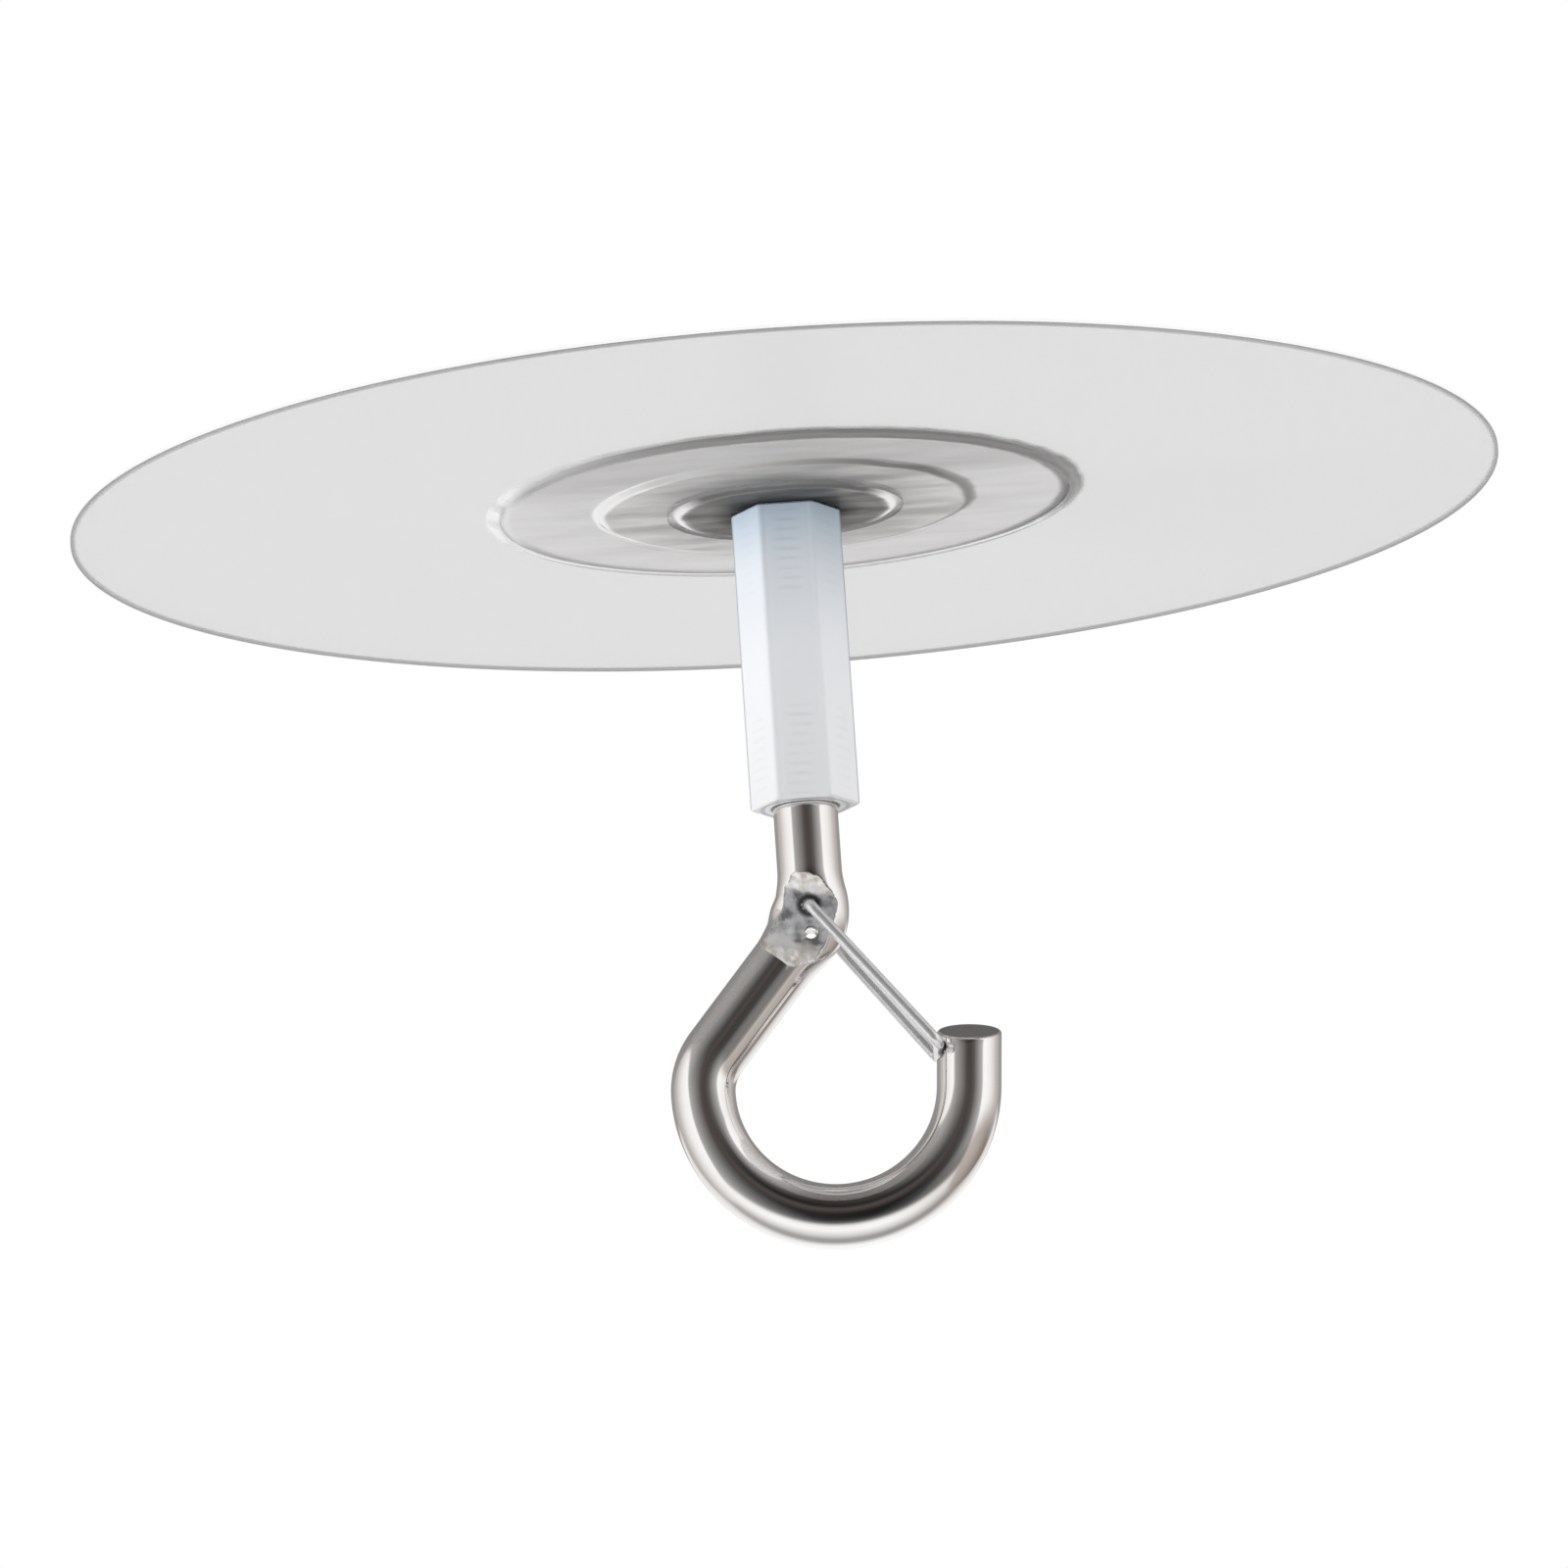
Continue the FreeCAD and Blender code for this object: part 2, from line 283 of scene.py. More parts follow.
normal = add_node(tree, "ShaderNodeNewGeometry", out="Normal")
upright = add_node(tree, "ShaderNodeSeparateXYZ", links={0: normal}, out="Z")
level = add_node(tree, "ShaderNodeMath", {"operation": "ABSOLUTE"}, links={0: upright})
cut_edge = add_node(tree, "ShaderNodeMapRange", links={0: level},
                    inputs={"From Min": 0.15, "From Max": 0.6, "To Min": 1.0, "To Max": 0.0})
spread = add_node(tree, "ShaderNodeMath", {"operation": "DIVIDE"}, {1: film_radius}, {0: off_axis})
pinched = add_node(tree, "ShaderNodeValToRGB", links={0: spread}, stops=[(0.994, 0.0), (0.9965, 0.8)])
cut_edge = add_node(tree, "ShaderNodeMath", {"operation": "MAXIMUM"}, links={0: cut_edge, 1: pinched})
colour = add_node(tree, "ShaderNodeMix", {"data_type": "RGBA"}, {"B": linear("#8E8E8E")},
                  {"Factor": cut_edge, "A": tint})
veil = add_node(tree, "ShaderNodeMix", inputs={"B": 0.7}, links={"Factor": cut_edge, "A": veil})
tree.links.new(colour, shader.inputs["Base Color"])
tree.links.new(veil, shader.inputs["Alpha"])
dress(film, vinyl)
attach(film, "hanger")
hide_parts("face_film")


# Base plate
# A stainless disc pressed down in two steps. The rim and the ring keep the mill's bright finish under
# the film, and the bare boss is painted dark, a painted shade that deepens towards the stud's hole.
plate_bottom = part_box("base_plate")[0].z
plate_thickness = 0.40 * mm
stud_hole_radius = 2.1 * mm
plate_steps = 192
smear_length = 9.09 * mm
smear_width = 2.38 * mm
smear_sway = 0.35 * mm

plate_under = rounded([
    (stud_hole_radius, plate_bottom),
    (boss_edge - half_run, plate_bottom),
    (boss_edge + half_run, plate_bottom + ring_drop),
    (ring_edge - half_run, plate_bottom + ring_drop),
    (ring_edge + half_run, plate_bottom + 2 * ring_drop),
    (plate_edge - layer_gap, plate_bottom + 2 * ring_drop),
], press_round)
plate_over = [point + Vector((0, plate_thickness)) for point in reversed(plate_under)]
plate_rings = [circle(p.x, p.y, plate_steps) for p in plate_under + plate_over]
plate = add_piece("pressed_plate", plate_rings, joined=True)

# Mill-bright sheet mirrors the studio out of focus, streaked by the dies. The eye sees pale flats, a step
# with a painted highlight on the left and a painted shade line on the right, and a smeared boss in
# painted shade.
steel, tree, shader = new_material("stainless_sheet_pressed", {})
place = add_node(tree, "ShaderNodeTexCoord", out="Object")
parts = add_node(tree, "ShaderNodeSeparateXYZ", links={0: place}).node.outputs
reach = from_axis(tree, place)
drag = add_node(tree, "ShaderNodeMapping", inputs={"Scale": (1 / smear_length, 1 / smear_width, 1)},
                links={0: place})
smears = add_node(tree, "ShaderNodeTexNoise", inputs={"Scale": 1.0, "Detail": 4.0}, links={0: drag})
sway = add_node(tree, "ShaderNodeMapRange", inputs={"To Min": -smear_sway, "To Max": smear_sway},
                links={0: smears})
wander = add_node(tree, "ShaderNodeMath", {"operation": "ADD"}, links={0: reach, 1: sway})
share = add_node(tree, "ShaderNodeMath", {"operation": "DIVIDE"}, {1: plate_edge}, {0: wander})
side = add_node(tree, "ShaderNodeMath", {"operation": "DIVIDE"}, links={0: parts["X"], 1: reach})
left_to_right = add_node(tree, "ShaderNodeMapRange", inputs={"From Min": -1.0, "From Max": 1.0},
                         links={0: side})
near_side = add_node(tree, "ShaderNodeMapRange", {"interpolation_type": "SMOOTHSTEP"},
                     {"From Min": -4 * mm, "From Max": -10 * mm}, {0: parts["Y"]})
normal = add_node(tree, "ShaderNodeNewGeometry", out="Normal")
upright = add_node(tree, "ShaderNodeSeparateXYZ", links={0: normal}, out="Z")
level = add_node(tree, "ShaderNodeMath", {"operation": "ABSOLUTE"}, links={0: upright})

# The flats, from the stud's hole out to the rim. The boss is painted darker than the ring, a painted
# shade that deepens towards the stud's hole beside the standoff.
boss_share = boss_edge / plate_edge
ring_share = ring_edge / plate_edge
hole_shade = 0.18
boss_flat = 0.27
rim_flat = 0.95
bright = add_node(tree, "ShaderNodeValToRGB", links={0: share}, stops=[
    (hole_shade, "#7A7978"), (boss_flat, "#ABAAA9"), (boss_share - 0.045, "#B0AFAE"), (boss_share, "#E8E7E6"),
    (ring_share - 0.03, "#F2F1F0"), (ring_share, "#F6F5F5"), (rim_flat, "#FAF9F9")])
smeared = add_node(tree, "ShaderNodeValToRGB", links={0: share}, stops=[
    (hole_shade, "#646362"), (boss_flat, "#8C8B8A"), (boss_share - 0.045, "#949392"), (boss_share, "#C8C7C6"),
    (ring_share - 0.03, "#DAD9D8"), (ring_share, "#ECEBEB"), (rim_flat, "#F4F3F3")])
patches = add_node(tree, "ShaderNodeValToRGB", links={0: smears}, stops=[(0.38, 1.0), (0.62, 0.0)])
colour = add_node(tree, "ShaderNodeMix", {"data_type": "RGBA"},
                  links={"Factor": patches, "A": bright, "B": smeared})
# Painted shade on the near side of the ring, next to the boss.
on_ring = add_node(tree, "ShaderNodeValToRGB", links={0: share}, stops=[
    (boss_share, 0.2), (boss_share + 0.02, 0.6), (boss_share + 0.09, 0.4), (ring_share - 0.1, 0.0)])
shade = add_node(tree, "ShaderNodeMath", {"operation": "MULTIPLY"}, links={0: on_ring, 1: near_side})
colour = add_node(tree, "ShaderNodeMix", {"data_type": "RGBA"}, {"B": linear("#8E8D8C")},
                  {"Factor": shade, "A": colour})

# The two pressed steps: the ring's, with a painted highlight on its left and a thin painted shade line
# on its right, and the boss's, with painted highlights at its sides.
ring_step = add_node(tree, "ShaderNodeValToRGB", links={0: share}, stops=[
    (ring_share - 0.03, 0.0), (ring_share - 0.012, 1.0), (ring_share + 0.014, 1.0), (ring_share + 0.03, 0.0)])
ring_glint = add_node(tree, "ShaderNodeValToRGB", links={0: left_to_right}, stops=[
    (0.0, "#FFFFFF"), (0.22, "#FFFFFF"), (0.45, "#F4F3F2"), (1.0, "#C6C5C4")])
colour = add_node(tree, "ShaderNodeMix", {"data_type": "RGBA"},
                  links={"Factor": ring_step, "A": colour, "B": ring_glint})
ring_shade_line = add_node(tree, "ShaderNodeValToRGB", links={0: share}, stops=[
    (ring_share - 0.02, 0.0), (ring_share - 0.012, 1.0), (ring_share + 0.003, 1.0), (ring_share + 0.01, 0.0)])
shade_line_side = add_node(tree, "ShaderNodeValToRGB", links={0: left_to_right}, stops=[
    (0.25, 0.0), (0.5, 0.2), (0.72, 0.45), (0.9, 0.45), (1.0, 0.2)])
ring_shade_line = add_node(tree, "ShaderNodeMath", {"operation": "MULTIPLY"},
                       links={0: ring_shade_line, 1: shade_line_side})
colour = add_node(tree, "ShaderNodeMix", {"data_type": "RGBA"}, {"B": linear("#6E6D6C")},
                  {"Factor": ring_shade_line, "A": colour})
# Painted highlights on the boss's step, white at its left and right.
boss_step = add_node(tree, "ShaderNodeValToRGB", links={0: share}, stops=[
    (boss_share - 0.03, 0.0), (boss_share - 0.015, 1.0), (boss_share, 1.0), (boss_share + 0.012, 0.0)])
beside = add_node(tree, "ShaderNodeMath", {"operation": "ABSOLUTE"}, links={0: side})
boss_glint = add_node(tree, "ShaderNodeValToRGB", links={0: beside}, stops=[
    (0.75, "#929190"), (0.93, "#FFFFFF")])
colour = add_node(tree, "ShaderNodeMix", {"data_type": "RGBA"},
                  links={"Factor": boss_step, "A": colour, "B": boss_glint})

# The sheared edge: a painted highlight at the far left and painted shade in grey at the near right.
edge = add_node(tree, "ShaderNodeValToRGB", links={0: share}, stops=[(0.955, 0.0), (0.975, 1.0)])
near_right = to_near_right(tree, place)
wall_colour = add_node(tree, "ShaderNodeValToRGB", links={0: near_right}, stops=[
    (0.0, "#FFFFFF"), (0.3, "#EDECEC"), (0.65, "#B4B3B2"), (1.0, "#807F7E")])
face_colour = add_node(tree, "ShaderNodeValToRGB", links={0: near_right}, stops=[
    (0.0, "#E4E3E3"), (0.5, "#D6D5D5"), (1.0, "#B8B7B6")])
edge_colour = add_node(tree, "ShaderNodeMix", {"data_type": "RGBA"},
                       links={"Factor": level, "A": wall_colour, "B": face_colour})
edge_colour = add_node(tree, "ShaderNodeMix", {"data_type": "RGBA"}, {"B": linear("#FFFFFF")},
                       {"Factor": to_left_end(tree, place), "A": edge_colour})
colour = add_node(tree, "ShaderNodeMix", {"data_type": "RGBA"},
                  links={"Factor": edge, "A": colour, "B": edge_colour})
tree.links.new(colour, shader.inputs["Base Color"])
tree.links.new(colour, shader.inputs["Specular Tint"])

# Duller on the near side, and sharp where the ring's step glints.
gloss = add_node(tree, "ShaderNodeValToRGB", links={0: share}, stops=[
    (boss_share - 0.03, 0.38), (boss_share, 0.4), (ring_share, 0.42)])
gloss = add_node(tree, "ShaderNodeMath", {"operation": "MULTIPLY_ADD"}, {1: 0.3}, {0: near_side, 2: gloss})
left_glint = add_node(tree, "ShaderNodeValToRGB", links={0: left_to_right}, stops=[(0.1, 1.0), (0.24, 0.0)])
left_glint = add_node(tree, "ShaderNodeMath", {"operation": "MULTIPLY"}, links={0: left_glint, 1: ring_step})
gloss = add_node(tree, "ShaderNodeMix", inputs={"B": 0.12}, links={"Factor": left_glint, "A": gloss})
tree.links.new(gloss, shader.inputs["Roughness"])
bare = add_node(tree, "ShaderNodeMapRange", inputs={"From Min": 0.2, "From Max": 0.7, "To Max": 0.92},
                links={0: level})
tree.links.new(bare, shader.inputs["Metallic"])
dress(plate, steel)
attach(plate, "hanger")
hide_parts("base_plate")


# Stud
# A short steel stud with a flat head, turned and zinc plated. The head sits in the hollow of the boss,
# and the thread is screwed tight into the nylon, so that it is hidden in use.
zinc_bloom_width = 1.11 * mm

# Zinc plating is a soft, bluish grey: the eye sees a satin metal with a faint bloom.
zinc, tree, shader = new_material("zinc_plated_steel", {"Metallic": 1.0, "Roughness": 0.35})
place = add_node(tree, "ShaderNodeTexCoord", out="Object")
bloom = add_node(tree, "ShaderNodeTexNoise", inputs={"Scale": 1 / zinc_bloom_width, "Detail": 3.0},
                 links={0: place})
colour = add_node(tree, "ShaderNodeValToRGB", links={0: bloom}, stops=[(0.3, "#B4B6B8"), (0.7, "#CACCCE")])
tree.links.new(colour, shader.inputs["Base Color"])
dress(nodes["base_stud"], zinc)


# Standoff
# A hexagon bar of natural nylon, moulded, with a tapped hole in each end. The milky plastic lets light
# through, so the thread of each hole shows on the flats as fine level lines.
standoff_low, standoff_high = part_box("hex_standoff")
across_flats = 6.7 * mm
hex_corner_radius = 0.4 * mm
bore_radius = 2.0 * mm
bore_depth = 7.0 * mm
mouth_chamfer = 0.45 * mm
drill_point_radius = 0.05 * mm
drill_point_length = bore_radius * 0.6
thread_pitch = 0.7 * mm
thread_depth = 0.28 * mm
rings_per_pitch = 6
end_round = 0.12 * mm
nylon_cloud_width = 2.86 * mm

# Points are close together at each rounded corner and far apart on the flats.
corner_offsets = [0, 0.8, 1.7, 2.5, 3.4, 5, 8, 12, 17, 23]
sector = corner_offsets + [30] + [60 - offset for offset in reversed(corner_offsets[1:])]
hex_turns = [math.radians(60 * side + offset) for side in range(6) for offset in sector]


def hex_reach(turn, inset):
    """Distance from the axis to the rounded hexagon, at an angle, with its flats moved in by inset."""
    flat = across_flats / 2 - inset
    off_flat = abs((math.degrees(turn) % 60) - 30)
    straight = flat / math.cos(math.radians(off_flat))
    arc_centre = (flat - hex_corner_radius) / math.cos(math.radians(30))
    off_corner = math.radians(30 - off_flat)
    side = arc_centre * math.sin(off_corner)
    if side >= hex_corner_radius:
        return straight
    return min(straight, arc_centre * math.cos(off_corner) + math.sqrt(hex_corner_radius**2 - side**2))


def hex_ring(inset, height):
    """Ring of the hexagon's outline."""
    reaches = [hex_reach(turn, inset) for turn in hex_turns]
    return [Vector((r * math.cos(a), r * math.sin(a), height)) for r, a in zip(reaches, hex_turns)]


def bore_ring(radius, height, groove=0.0):
    """Ring of a tapped hole: the groove winds round it once for each pitch."""
    ring = []
    for turn in hex_turns:
        phase = (height / thread_pitch + turn / (2 * math.pi)) % 1
        r = radius + groove * (1 - abs(2 * phase - 1))
        ring.append(Vector((r * math.cos(turn), r * math.sin(turn), height)))
    return ring


def bore_rings(mouth, inwards):
    """Rings of one tapped hole, from its mouth to the point of the drill."""
    rings = [bore_ring(bore_radius + mouth_chamfer, mouth)]
    depth = mouth_chamfer
    while depth < bore_depth:
        groove = thread_depth * min(1, (bore_depth - depth) / thread_pitch)
        rings.append(bore_ring(bore_radius, mouth + inwards * depth, groove))
        depth += thread_pitch / rings_per_pitch
    rings.append(bore_ring(bore_radius, mouth + inwards * bore_depth))
    rings.append(bore_ring(drill_point_radius, mouth + inwards * (bore_depth + drill_point_length)))
    return rings


wall = [hex_ring(end_round, standoff_high.z), hex_ring(0, standoff_high.z - end_round)]
wall += [hex_ring(0, standoff_low.z + end_round), hex_ring(end_round, standoff_low.z)]
standoff_rings = list(reversed(bore_rings(standoff_high.z, -1))) + wall + bore_rings(standoff_low.z, 1)
standoff = add_piece("nylon_standoff", standoff_rings)

# Moulded natural nylon is milky and waxy: light sinks in and comes out softened. The eye sees near-white
# flats, bluer towards the plate, faint thread lines where the wall is thin, painted shade lines at the two
# side corners and a painted highlight round the hole in each end.
nylon, tree, shader = new_material("natural_nylon_moulded", {
    "IOR": 1.53, "Roughness": 0.32, "Subsurface Weight": 0.15, "Subsurface Scale": 1.0,
    "Subsurface Radius": (1.1 * mm, 1.2 * mm, 1.4 * mm)})
place = add_node(tree, "ShaderNodeTexCoord", out="Object")
parts = add_node(tree, "ShaderNodeSeparateXYZ", links={0: place}).node.outputs
reach = from_axis(tree, place)
normal = add_node(tree, "ShaderNodeNewGeometry", out="Normal")
facing = add_node(tree, "ShaderNodeSeparateXYZ", links={0: normal}).node.outputs

# One line for each turn of the thread.
turn = add_node(tree, "ShaderNodeMath", {"operation": "ARCTAN2"}, links={0: parts["Y"], 1: parts["X"]})
lead = add_node(tree, "ShaderNodeMath", {"operation": "MULTIPLY_ADD"}, {1: thread_pitch / (2 * math.pi)},
                {0: turn, 2: parts["Z"]})
wave = add_node(tree, "ShaderNodeMath", {"operation": "MULTIPLY"}, {1: 2 * math.pi / thread_pitch},
                {0: lead})
line = add_node(tree, "ShaderNodeMath", {"operation": "SINE"}, links={0: wave})
line = add_node(tree, "ShaderNodeMapRange", {"interpolation_type": "SMOOTHSTEP"},
                {"From Min": 0.1, "From Max": 1.0}, {0: line})

# The lines show where a hole is tapped, in the middle of a flat, in patches, and most on the front.
middle = (standoff_low.z + standoff_high.z) / 2
half_length = (standoff_high.z - standoff_low.z) / 2
off_middle = add_node(tree, "ShaderNodeMath", {"operation": "SUBTRACT"}, {1: middle}, {0: parts["Z"]})
off_middle = add_node(tree, "ShaderNodeMath", {"operation": "ABSOLUTE"}, links={0: off_middle})
bore_end = half_length - bore_depth
tapped = add_node(tree, "ShaderNodeMapRange", {"interpolation_type": "SMOOTHSTEP"},
                  {"From Min": bore_end, "From Max": bore_end + mm, "To Max": 0.24}, {0: off_middle})
thin_wall = add_node(tree, "ShaderNodeMapRange", {"interpolation_type": "SMOOTHSTEP"},
                     {"From Min": across_flats / 2, "From Max": across_flats / 2 + 0.2 * mm,
                      "To Min": 1.0, "To Max": 0.0}, {0: reach})
cloud = add_node(tree, "ShaderNodeTexNoise", inputs={"Scale": 1 / nylon_cloud_width, "Detail": 2.0},
                 links={0: place})
clear = add_node(tree, "ShaderNodeValToRGB", links={0: cloud}, stops=[(0.35, 0.15), (0.65, 1.0)])
ahead = add_node(tree, "ShaderNodeMath", {"operation": "ABSOLUTE"}, links={0: facing["Y"]})
lit_through = add_node(tree, "ShaderNodeMapRange", links={0: ahead},
                       inputs={"From Min": 0.55, "From Max": 0.95, "To Min": 0.4})
shows = tapped
for mask in (thin_wall, line, clear, lit_through):
    shows = add_node(tree, "ShaderNodeMath", {"operation": "MULTIPLY"}, links={0: shows, 1: mask})
height = add_node(tree, "ShaderNodeMapRange", links={0: parts["Z"]},
                  inputs={"From Min": standoff_low.z, "From Max": standoff_high.z})
milk = add_node(tree, "ShaderNodeValToRGB", links={0: height}, stops=[
    (0.0, "#EFF0F2"), (0.5, "#F4F6FA"), (0.8, "#EFF5FE"), (1.0, "#D9ECFF")])
colour = add_node(tree, "ShaderNodeMix", {"data_type": "RGBA"}, {"B": linear("#B4B9C0")},
                  {"Factor": shows, "A": milk})

# A painted highlight as a white rim and a painted shade line in grey round the tapped hole in each end,
# and a painted shade line in grey up the two side corners.
endways = add_node(tree, "ShaderNodeMath", {"operation": "ABSOLUTE"}, links={0: facing["Z"]})
end_face = add_node(tree, "ShaderNodeMapRange", inputs={"From Min": 0.8, "From Max": 0.95},
                    links={0: endways})
out_share = add_node(tree, "ShaderNodeMath", {"operation": "DIVIDE"}, {1: across_flats / 2}, {0: reach})
mouth_rim_highlight = add_node(tree, "ShaderNodeValToRGB", links={0: out_share}, stops=[
    (0.7, "#FFFFFF"), (0.83, "#FFFFFF"), (0.87, "#B9C0C9"), (0.91, "#B9C0C9"), (0.95, "#EFF0F2")])
colour = add_node(tree, "ShaderNodeMix", {"data_type": "RGBA"},
                  links={"Factor": end_face, "A": colour, "B": mouth_rim_highlight})
side_corner = hex_reach(0, 0)
beside = add_node(tree, "ShaderNodeMath", {"operation": "ABSOLUTE"}, links={0: parts["X"]})
# Painted shade: a grey line up the two side corners.
side_corner_shade = add_node(tree, "ShaderNodeMapRange", {"interpolation_type": "SMOOTHSTEP"},
                {"From Min": side_corner - 0.12 * mm, "From Max": side_corner - 0.02 * mm}, {0: beside})
colour = add_node(tree, "ShaderNodeMix", {"data_type": "RGBA"}, {"B": linear("#B2B7BD")},
                  {"Factor": side_corner_shade, "A": colour})
tree.links.new(colour, shader.inputs["Base Color"])
dress(standoff, nylon)
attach(standoff, "hanger")
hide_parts("hex_standoff")


# Hook
# A stainless bar, threaded at one end, bent to shape and polished. Two dies have struck the neck flat and
# left it dull and ragged, with two cross holes for the gate's pins. The tip is sawn and grooved.
bar_radius = 2.25 * mm
thread_radius = 1.95 * mm
thread_reach = 6.0 * mm
hook_thread_depth = 0.3 * mm
thread_chamfer = 0.45 * mm
neck_drop = 8.2 * mm
neck_bend_radius = 5.5 * mm
lean = math.radians(40)
shoulder_radius = 4.7 * mm
bowl_radius = 9.25 * mm
bowl_offset = 0.83 * mm
tip_tilt = math.radians(4)
tip_rise = 3.3 * mm
cut_slant = math.radians(24)
tip_round = 0.2 * mm
tip_round_steps = 5
tip_clearance = 0.3 * mm
neck_flat = 1.35 * mm
neck_spread = 1.0 * mm
neck_run = 1.8 * mm
neck_flat_length = 4.2 * mm
neck_ramp_length = 1.3 * mm
neck_die_shift = 0.5 * mm
tears_per_mm = 1.3
grains_per_mm = 3.1
tear_wander_mm = 0.45
grain_wander_mm = 0.08
tear_height_mm = 0.09
grain_height_mm = 0.01
hole_radius = 0.475 * mm
hole_pitch = 1.9 * mm
hole_offset = -0.2 * mm
hole_steps = 32
cutter_reach = 3 * bar_radius
groove_below_tip = 1.5 * mm
groove_radius = 0.65 * mm
bar_steps = 120
bar_step = 0.35 * mm
neck_step = 0.08 * mm
torn_width = 0.909 * mm
haze_width = 2.5 * mm

shank_top = standoff_low.z
corner_height = shank_top - neck_drop
bend_setback = neck_bend_radius * math.tan(lean / 2)
bowl_left = bowl_offset - bowl_radius
leg_fall = (shoulder_radius * (1 - math.cos(lean)) - bowl_left * math.cos(lean)) / math.sin(lean)
shoulder_start = Vector((bowl_left + shoulder_radius * (1 - math.cos(lean)), 0,
                         corner_height - leg_fall + shoulder_radius * math.sin(lean)))
leg_length = (shoulder_start - Vector((0, 0, corner_height))).length - bend_setback
tip_length = (tip_rise + bowl_radius * math.sin(tip_tilt)) / math.cos(tip_tilt)

# Each run of the bent bar has a length and the angle that it turns through.
runs = [
    (neck_drop - bend_setback, 0),
    (neck_bend_radius * lean, lean),
    (leg_length, 0),
    (shoulder_radius * lean, -lean),
    (bowl_radius * (math.pi - tip_tilt), tip_tilt - math.pi),
    (tip_length, 0),
]
bar_length = sum(length for length, turn in runs)


def bar_frame(travel):
    """Centre, heading and side direction of the bar, at a distance along it below the standoff."""
    centre = Vector((0, 0, shank_top))
    angle = 0.0
    for length, turn in runs:
        step = min(travel, length)
        part_turn = turn * step / length
        if part_turn:
            chord = 2 * step / part_turn * math.sin(part_turn / 2)
        else:
            chord = step
        middle = angle + part_turn / 2
        centre += Vector((-math.sin(middle), 0, -math.cos(middle))) * chord
        angle += part_turn
        travel -= step
        if travel <= 0:
            break
    heading = Vector((-math.sin(angle), 0, -math.cos(angle)))
    side = Vector((math.cos(angle), 0, -math.sin(angle)))
    return centre, heading, side


neck_start = runs[0][0] - neck_run
neck_length = runs[1][0] + 2 * neck_run
neck_centre, neck_heading, _ = bar_frame(neck_start + neck_length / 2)
die_centre = neck_centre + neck_heading * neck_die_shift
squeezed = (bar_radius + neck_flat) / 2
ramp_slope = neck_ramp_length / (bar_radius - neck_flat)
across = Vector((0, 1, 0))
marks = {"pressed": [], "flank": [], "sawn": []}


def mark_point(pressed=0.0, flank=0.0, sawn=0.0):
    """Notes what was done to the bar's surface at the next point of its mesh."""
    marks["pressed"].append(pressed)
    marks["flank"].append(flank)
    marks["sawn"].append(sawn)


def smooth_step(value, low, high):
    """Rises softly from 0 at low to 1 at high."""
    share = min(max((value - low) / (high - low), 0), 1)
    return share * share * (3 - 2 * share)


def struck(point, y):
    """Half thickness that the dies leave at a point, rough where the metal tore, and 1 on their ramps."""
    spot = (point - die_centre) / mm
    along = spot.dot(neck_heading)
    face = math.copysign(1, y)
    # The numbers 7, 9 and 11 only keep the two faces and the two kinds of roughness from being alike.
    rough = noise.noise(Vector((spot.x, 7 * face, spot.z)) * tears_per_mm)
    grain = noise.noise(Vector((spot.x + 9, 11 * face, spot.z)) * grains_per_mm)
    off_centre = abs(along + tear_wander_mm * rough + grain_wander_mm * grain)
    beyond = max(0, off_centre - neck_flat_length / 2 / mm)
    lump = (tear_height_mm * rough + grain_height_mm * grain) * mm
    left = neck_flat + beyond * mm / ramp_slope + lump
    on_ramp = max(smooth_step(beyond, 0, 0.3), smooth_step(along + 0.7 * rough, 1.0, 1.4))
    return left, on_ramp


def bar_ring(travel):
    """Ring of the bar at a distance along it, swelled and struck where it passes the neck."""
    centre, _, side = bar_frame(travel)
    share = min(max((travel - neck_start) / neck_length, 0), 1)
    press = math.sin(math.pi * share) ** 2
    wide = bar_radius + press * neck_spread / 2
    thick = bar_radius + press * (squeezed - bar_radius)
    ring = []
    for k in range(bar_steps):
        turn = 2 * math.pi * k / bar_steps
        point = centre + side * wide * math.cos(turn)
        y = thick * math.sin(turn)
        left, flank = struck(point, y) if 0 < share < 1 else (bar_radius * 2, 0.0)
        excess = abs(y) - left
        mark_point(pressed=smooth_step(excess, -0.03 * mm, 0.05 * mm), flank=flank)
        if excess > 0:
            y = math.copysign(left, y)
        ring.append(point + across * y)
    return ring


def plain_ring(centre, side, radius, slant=0.0, sawn=0.0):
    """Round ring across the bar, tilted from front to back by a slant."""
    rise = Vector((math.sin(tip_tilt), 0, math.cos(tip_tilt)))
    ring = []
    for k in range(bar_steps):
        turn = 2 * math.pi * k / bar_steps
        lift = rise * radius * math.sin(turn) * slant
        ring.append(centre + side * radius * math.cos(turn) + across * radius * math.sin(turn) + lift)
        mark_point(sawn=sawn)
    return ring


def thread_rings():
    """Rings of the threaded end, from its chamfered top down to the standoff's lower face."""
    rings = []
    fall = 0.0
    while fall < thread_reach:
        height = shank_top + thread_reach - fall
        ring = []
        for k in range(bar_steps):
            phase = (height / thread_pitch + k / bar_steps) % 1
            r = thread_radius - hook_thread_depth * abs(2 * phase - 1)
            r = min(r, thread_radius - thread_chamfer + fall)
            turn = 2 * math.pi * k / bar_steps
            ring.append(Vector((r * math.cos(turn), r * math.sin(turn), height)))
            mark_point()
        rings.append(ring)
        fall += thread_pitch / rings_per_pitch
    return rings


